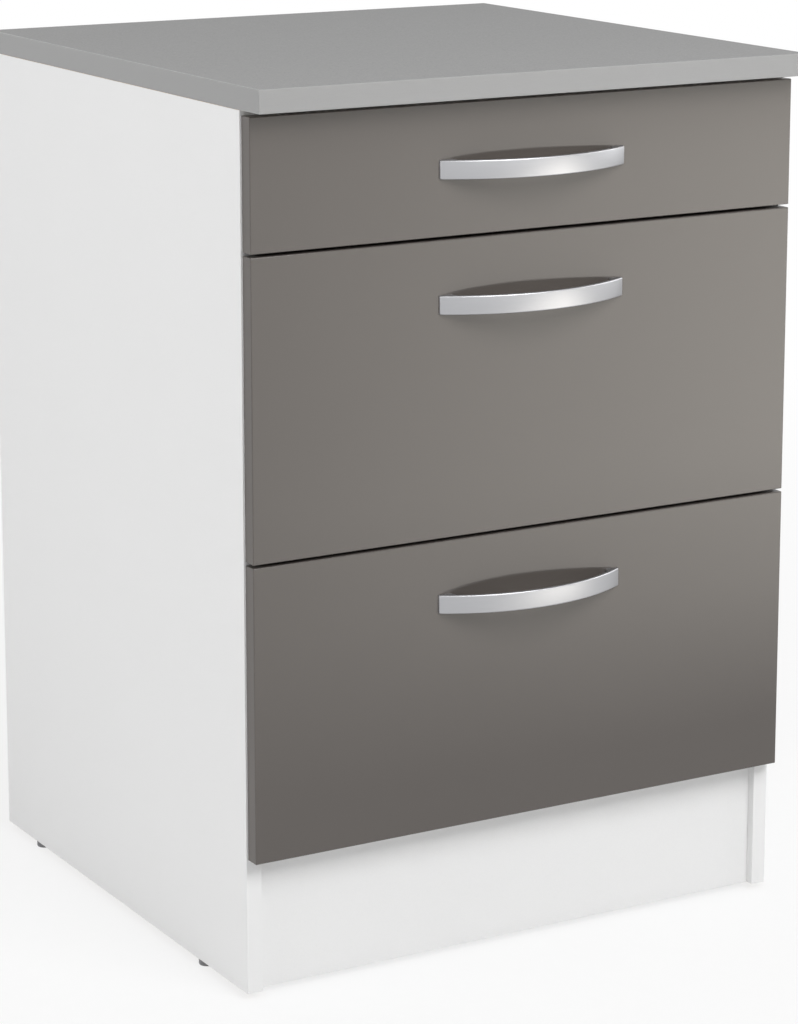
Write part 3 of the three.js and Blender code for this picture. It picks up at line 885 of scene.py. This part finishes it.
class CABINET_OT_fronts(bpy.types.Operator):
    """Build the gloss drawer fronts"""

    bl_idname = "cabinet.fronts"
    bl_label = "Drawer Fronts"
    bl_options = {"REGISTER", "UNDO"}

    def execute(self, context):
        sizes = context.scene.cabinet_sizes
        for drawer in DRAWERS:
            node = f"{drawer}_drawer_front"
            coats = {"front": gloss_lacquer, "rear": melamine}
            seat = f"{drawer}_drawer_bottom"
            name = f"{drawer}_gloss_front"
            board(node, name, sizes.front_edge, coats, lacquered_edge, seat=seat, segments=5)
        return {"FINISHED"}


class CABINET_OT_boxes(bpy.types.Operator):
    """Build the drawer boxes with their bottoms"""

    bl_idname = "cabinet.boxes"
    bl_label = "Drawer Boxes"
    bl_options = {"REGISTER", "UNDO"}

    def execute(self, context):
        sizes = context.scene.cabinet_sizes
        for drawer in DRAWERS:
            faced = {"left": melamine, "right": melamine}
            band = (edge_band, sizes.band, ["top"])
            seat = f"{drawer}_drawer_bottom"
            for word, _ in HANDS:
                node = f"{drawer}_drawer_side_{word}"
                board(node, f"{node}_board", sizes.board_edge, faced, chipboard, band, seat, DEEP)
            node = f"{drawer}_drawer_back"
            upright = {"front": melamine, "rear": melamine}
            board(node, f"{node}_board", sizes.board_edge, upright, chipboard, band)
            coats = {"top": coated_hardboard}
            board(seat, f"{seat}_sheet", sizes.sheet_edge, coats, bare_hardboard)
        return {"FINISHED"}


class CABINET_OT_handles(bpy.types.Operator):
    """Build the bow handles"""

    bl_idname = "cabinet.handles"
    bl_label = "Bow Handles"
    bl_options = {"REGISTER", "UNDO"}

    def execute(self, context):
        sizes = context.scene.cabinet_sizes
        for drawer in DRAWERS:
            node = f"{drawer}_handle"
            low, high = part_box(node)
            shape = bow_shape(low, high, sizes.handle_edge, sizes.bow_segments)
            name = f"{drawer}_bow_handle"
            metal = [finish(satin_metal)]
            piece = add_piece(name, shape, BODIES[node], SLOTS[node], metal, [node])
            piece.data.set_sharp_from_angle(angle=SHARP)
        return {"FINISHED"}


class CABINET_OT_handle_screws(bpy.types.Operator):
    """Build the screws that hold the handles through the fronts"""

    bl_idname = "cabinet.handle_screws"
    bl_label = "Handle Screws"
    bl_options = {"REGISTER", "UNDO"}

    def execute(self, context):
        head = 0.0024  # height of the head
        crest, root, pitch = 0.002, 0.0017, 0.0007  # of the thread
        blunt, taper = 0.0015, 0.0006  # radius of the tip and length of its slope
        plain = 0.0008  # length without thread under the head
        for drawer, (word, _) in itertools.product(DRAWERS, HANDS):
            node = f"{drawer}_handle_screw_{word}"
            low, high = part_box(node)
            radius = (high.x - low.x) / 2
            tip = low.y - high.y + head
            depth = tip + taper
            outline = [(0.0, tip), (blunt, tip), (crest, depth)]
            while depth < -plain:
                outline += [(crest, depth), (root, depth + pitch / 2)]
                depth += pitch
            rows = plain_rows(outline) + cross_head(radius, head, recess=0.0016)[1:]
            place = ((low.x + high.x) / 2, high.y - head, (low.z + high.z) / 2)
            turned_piece(f"{node}_bolt", node, rows, place, (0, 1, 0), zinc)
        return {"FINISHED"}


class CABINET_OT_runners(bpy.types.Operator):
    """Build the folded steel runners of the cabinet and the drawers"""

    bl_idname = "cabinet.runners"
    bl_label = "Runners"
    bl_options = {"REGISTER", "UNDO"}

    def execute(self, context):
        sizes = context.scene.cabinet_sizes
        for drawer, kind, (word, _) in itertools.product(DRAWERS, ("cabinet", "drawer"), HANDS):
            node = f"{drawer}_{kind}_runner_{word}"
            dress(node, f"{node}_rail", sizes.steel_edge, epoxy_steel)
        return {"FINISHED"}


class CABINET_OT_rollers(bpy.types.Operator):
    """Build the nylon rollers"""

    bl_idname = "cabinet.rollers"
    bl_label = "Rollers"
    bl_options = {"REGISTER", "UNDO"}

    def execute(self, context):
        for drawer, end, (word, _) in itertools.product(DRAWERS, ("front", "rear"), HANDS):
            node = f"{drawer}_{end}_roller_{word}"
            low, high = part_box(node)
            radius = (high.z - low.z) / 2
            half = (high.x - low.x) / 2
            rim = [(radius - 0.0005, 0.0), (radius - 0.0001, 0.0003), (radius, 0.0007)]
            side = [*ROLLER_HUB, *rim]
            outline = [(reach, depth - half) for reach, depth in side]
            outline += [(reach, half - depth) for reach, depth in reversed(side)]
            rows = plain_rows([*outline, outline[0]])
            turned_piece(f"{node}_wheel", node, rows, (low + high) / 2, (1, 0, 0), nylon)
        return {"FINISHED"}


class CABINET_OT_cam_locks(bpy.types.Operator):
    """Build the cam locks that pull the boards together"""

    bl_idname = "cabinet.cam_locks"
    bl_label = "Cam Locks"
    bl_options = {"REGISTER", "UNDO"}

    def execute(self, context):
        sizes = context.scene.cabinet_sizes
        radius = sizes.cam_radius
        depth = 0.009  # of a cam lock in its board
        rows = [
            (0.0, -depth, False),
            (radius, -depth, False),
            (radius, 0.0001, False),
            (radius - 0.0003, 0.0003, False),
            (radius - 0.001, 0.0003, False),
            (radius - 0.0013, 0.0, False),
            (radius * 0.62, 0.0, True),
            (radius * 0.56, -0.0018, True),
            (radius * 0.3, -0.004, True),
            (0.0, -0.0045, False),
        ]
        panel_inset, rail_inset = 0.05, 0.03  # from the board's front or rear edge
        places = []
        for node in ("bottom_panel", "front_top_rail", "rear_top_rail"):
            low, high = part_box(node)
            depths = [low.y + rail_inset]
            if node == "bottom_panel":
                depths = [low.y + panel_inset, high.y - panel_inset]
            for x in (low.x + sizes.cam_inset, high.x - sizes.cam_inset):
                places += [((x, y, low.z), (0, 0, -1)) for y in depths]
        low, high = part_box("plinth_board")
        for x in (low.x + sizes.cam_inset, high.x - sizes.cam_inset):
            places.append(((x, high.y, (low.z + high.z) / 2), (0, 1, 0)))
        fixings_piece("carcass_cam_locks", "cabinet", rows, places)
        for drawer in DRAWERS:
            shares = (0.58,) if drawer == "top" else (0.3, 0.8)  # of the side's height
            places = []
            for word, sign in HANDS:
                low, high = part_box(f"{drawer}_drawer_side_{word}")
                x = low.x if sign > 0 else high.x
                for share in shares:
                    z = low.z + (high.z - low.z) * share
                    places.append(((x, low.y + sizes.cam_inset, z), (-sign, 0, 0)))
            fixings_piece(f"{drawer}_box_cam_locks", f"{drawer}_drawer", rows, places)
        return {"FINISHED"}


class CABINET_OT_screws(bpy.types.Operator):
    """Build the screws of the worktop, the drawer boxes and the runners"""

    bl_idname = "cabinet.screws"
    bl_label = "Screws"
    bl_options = {"REGISTER", "UNDO"}

    def execute(self, context):
        pan = cross_head(radius=0.004, height=0.0022, recess=0.0014)
        flat = cross_head(radius=0.0042, height=0.00035, recess=0.0011)
        off_centre = 0.18
        places = []
        for node in ("front_top_rail", "rear_top_rail"):
            low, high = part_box(node)
            for x in (-off_centre, off_centre):
                places.append(((x, (low.y + high.y) / 2, low.z), (0, 0, -1)))
        fixings_piece("worktop_screws", "cabinet", pan, places)
        insets = (0.034, 0.162, 0.386)  # of a runner's screws, from its front end
        rise = 0.0104  # from its lower edge
        places = []
        for drawer in DRAWERS:
            self.build_box_screws(drawer, flat)
            for word, sign in HANDS:
                low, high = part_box(f"{drawer}_cabinet_runner_{word}")
                x = high.x - FOLDED_SHEET if sign > 0 else low.x + FOLDED_SHEET
                for inset in insets:
                    places.append(((x, low.y + inset, low.z + rise), (-sign, 0, 0)))
        fixings_piece("cabinet_runner_screws", "cabinet", flat, places)
        return {"FINISHED"}

    def build_box_screws(self, drawer, flat):
        """The screws that ride on one drawer."""
        body = f"{drawer}_drawer"
        small = cross_head(radius=0.0034, height=0.0014, recess=0.0009)
        shares = (0.68,) if drawer == "top" else (0.35, 0.8)  # of the side's height
        flange_middle = 0.0055  # in from the box's outer face, on the flange under it
        insets = (0.05, 0.24, 0.43)  # of a runner's screws, from its front end
        back_low, back_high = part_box(f"{drawer}_drawer_back")
        y = (back_low.y + back_high.y) / 2
        places = []
        under = []
        for word, sign in HANDS:
            low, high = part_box(f"{drawer}_drawer_side_{word}")
            x = high.x if sign > 0 else low.x
            for share in shares:
                places.append(((x, y, low.z + (high.z - low.z) * share), (sign, 0, 0)))
            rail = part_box(f"{drawer}_drawer_runner_{word}")[0]
            for inset in insets:
                place = (x - sign * flange_middle, rail.y + inset, rail.z)
                under.append((place, (0, 0, -1)))
        fixings_piece(f"{drawer}_box_screws", body, flat, places)
        fixings_piece(f"{drawer}_runner_screws", body, small, under)
        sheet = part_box(f"{drawer}_drawer_bottom")[0]
        spacing = 0.2
        places = [((x, y, sheet.z), (0, 0, -1)) for x in (-spacing, 0.0, spacing)]
        fixings_piece(f"{drawer}_bottom_screws", body, small, places)


class CABINET_OT_stage(bpy.types.Operator):
    """Set the floor, the background, the lamps and the camera"""

    bl_idname = "cabinet.stage"
    bl_label = "Stage"
    bl_options = {"REGISTER", "UNDO"}

    def execute(self, context):
        settings = context.scene.cabinet_studio
        context.scene.view_settings.view_transform = "Standard"
        self.light_world(context.scene, settings)
        self.lay_floor()
        self.lay_card(settings)
        for name, size, place in LAMPS:
            self.hang_lamp(name, getattr(settings, name), size, place)
        self.set_camera(context.scene, settings)
        return {"FINISHED"}

    @staticmethod
    def seen(nodes):
        """1 for rays that show the background: direct, mirrored or through glass."""
        words = ("Is Camera Ray", "Is Glossy Ray", "Is Transmission Ray")
        first, *others = [nodes.add("ShaderNodeLightPath", output=word) for word in words]
        return sum(others, first)

    def light_world(self, scene, settings):
        world = bpy.data.worlds.new("Studio")
        scene.world = world
        nodes = Nodes(world)
        white = (1, 1, 1, 1)
        dim = nodes.add("ShaderNodeBackground", None, [white, settings.ambient])
        bright = nodes.add("ShaderNodeBackground", None, [white, 1.0])
        mixed = nodes.add("ShaderNodeMixShader", None, [self.seen(nodes), dim, bright])
        nodes.add("ShaderNodeOutputWorld", None, {"Surface": mixed})

    def lay_floor(self):
        """A pale floor that fades into the white background and keeps the object's shadow."""
        shape = bmesh.new()
        half_width = 14
        bmesh.ops.create_grid(shape, x_segments=1, y_segments=1, size=half_width)
        mesh = bpy.data.meshes.new("studio_floor")
        shape.to_mesh(mesh)
        shape.free()
        floor = add_object("studio_floor", mesh)
        nodes = Nodes(bpy.data.materials.new("studio_floor_finish"))
        reach = nodes.add("ShaderNodeVectorMath", {"operation": "LENGTH"}, [nodes.where()], "Value")
        fade_start, fade_end, near_share = 0.6, 2.6, 0.78
        fade = nodes.spread(reach, fade_start, fade_end, near_share, 1.0)
        grain = nodes.noise(60, 3)
        pale, paler = (0.76, 0.76, 0.76, 1), (0.8, 0.8, 0.8, 1)
        tone = nodes.tint(grain, pale, paler)
        matt = nodes.add("ShaderNodeBsdfDiffuse", None, {"Color": tone})
        glow = nodes.add("ShaderNodeEmission", None, {"Color": (1, 1, 1, 1), "Strength": 1.0})
        mixed = nodes.add("ShaderNodeMixShader", None, [self.seen(nodes) * fade, matt, glow])
        mesh.materials.append(nodes.end(mixed))
        floor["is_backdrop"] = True

    def lay_card(self, settings):
        """A warm glowing card on the floor that only reflections show.

        Its glow changes with the direction from the place of the camera's mirror image behind the
        fronts, so the change runs upright in the gloss, and with the distance along Y.
        """
        left, right, near, far, height = -2.5, 9.0, -0.67, -9.0, 0.004
        mirrored_x, mirrored_y = -1.638, 2.309
        mesh = bpy.data.meshes.new("light_card")
        corners = [(left, far), (right, far), (right, near), (left, near)]
        mesh.from_pydata([(x, y, height) for x, y in corners], [], [(0, 1, 2, 3)])
        card = add_object("light_card", mesh)
        nodes = Nodes(bpy.data.materials.new("light_card_glow"))
        x = nodes.add("ShaderNodeSeparateXYZ", None, [nodes.where()], "X")
        y = nodes.add("ShaderNodeSeparateXYZ", None, [nodes.where()], "Y")
        fan = (x - mirrored_x) / (mirrored_y - y)
        left_end, brightest, right_end = 0.416, 0.773, 1.03
        side = nodes.spread(fan, left_end, brightest, 0.0, 0.85)
        side = side * nodes.spread(fan, right_end, brightest)
        start, middle, full = near - 0.08, -1.25, -1.9
        rise = nodes.spread(y, start, middle, 0.0, 0.62)
        rise = rise + nodes.spread(y, middle, full, 0.0, 0.38)
        # The far end is dimmer, so the top of the upper front mirrors less glow: a painted shade in
        # the gloss, standing in for the shadow under the worktop's overhang.
        slow_fade, quick_fade, dim = -2.8, -5.2, -6.1
        fade = nodes.spread(y, dim, quick_fade, 0.4, 1.0)
        fade = fade * nodes.spread(y, quick_fade, slow_fade, 0.93, 1.0)
        clear = nodes.add("ShaderNodeBsdfTransparent")
        warm = (1, 0.965, 0.895, 1)
        glow = nodes.add("ShaderNodeEmission", None, {"Color": warm, "Strength": settings.card})
        mixed = nodes.add("ShaderNodeMixShader", None, [side * rise * fade, clear, glow])
        mesh.materials.append(nodes.end(mixed))
        card.visible_camera = False
        card.visible_diffuse = False
        card.visible_shadow = False
        card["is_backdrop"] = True

    def hang_lamp(self, name, power, size, place):
        lamp = bpy.data.lights.new(name, "AREA")
        lamp.energy = power
        lamp.size = size
        holder = add_object(name, lamp)
        holder.location = place
        towards = Vector(LAMP_AIM) - Vector(place)
        holder.rotation_euler = towards.to_track_quat("-Z", "Y").to_euler()

    def set_camera(self, scene, settings):
        camera = bpy.data.cameras.new("photo_camera")
        camera.lens = settings.camera_lens
        camera.shift_y = settings.camera_shift
        holder = add_object("photo_camera", camera)
        holder.location = settings.camera_place
        holder.rotation_euler = (math.pi / 2 - settings.camera_pitch, 0, -settings.camera_yaw)
        scene.camera = holder


PIECE_OPERATORS = (
    CABINET_OT_carcass,
    CABINET_OT_back,
    CABINET_OT_worktop,
    CABINET_OT_glides,
    CABINET_OT_fronts,
    CABINET_OT_boxes,
    CABINET_OT_handles,
    CABINET_OT_handle_screws,
    CABINET_OT_runners,
    CABINET_OT_rollers,
    CABINET_OT_cam_locks,
    CABINET_OT_screws,
    CABINET_OT_stage,
)


class CABINET_PT_sidebar(bpy.types.Panel):
    """The cabinet's pieces and settings"""

    bl_idname = "CABINET_PT_sidebar"
    bl_label = "Base Cabinet"
    bl_space_type = "VIEW_3D"
    bl_region_type = "UI"
    bl_category = "Cabinet"

    def draw(self, context):
        layout = self.layout
        for operator in PIECE_OPERATORS:
            layout.operator(operator.bl_idname)
        scene = context.scene
        for group in (scene.cabinet_sizes, scene.cabinet_colours, scene.cabinet_studio):
            column = layout.column(align=True)
            for name in group.__annotations__:
                column.prop(group, name)


SETTINGS = {
    "cabinet_sizes": CabinetSizes,
    "cabinet_colours": CabinetColours,
    "cabinet_studio": StudioSettings,
}
CLASSES = (*SETTINGS.values(), *PIECE_OPERATORS, CABINET_PT_sidebar)


def register():
    for each in CLASSES:
        bpy.utils.register_class(each)
    for name, group in SETTINGS.items():
        setattr(bpy.types.Scene, name, PointerProperty(type=group))


def unregister():
    for name in SETTINGS:
        delattr(bpy.types.Scene, name)
    for each in reversed(CLASSES):
        bpy.utils.unregister_class(each)


def main():
    register()
    for operator in PIECE_OPERATORS:
        group, _, name = operator.bl_idname.partition(".")
        getattr(getattr(bpy.ops, group), name)()
    boxes = {"cad": cad_box, "visual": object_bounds()}
    {word: [list(corner) for corner in box] for word, box in boxes.items()}


if __name__ == "__main__":
    main()
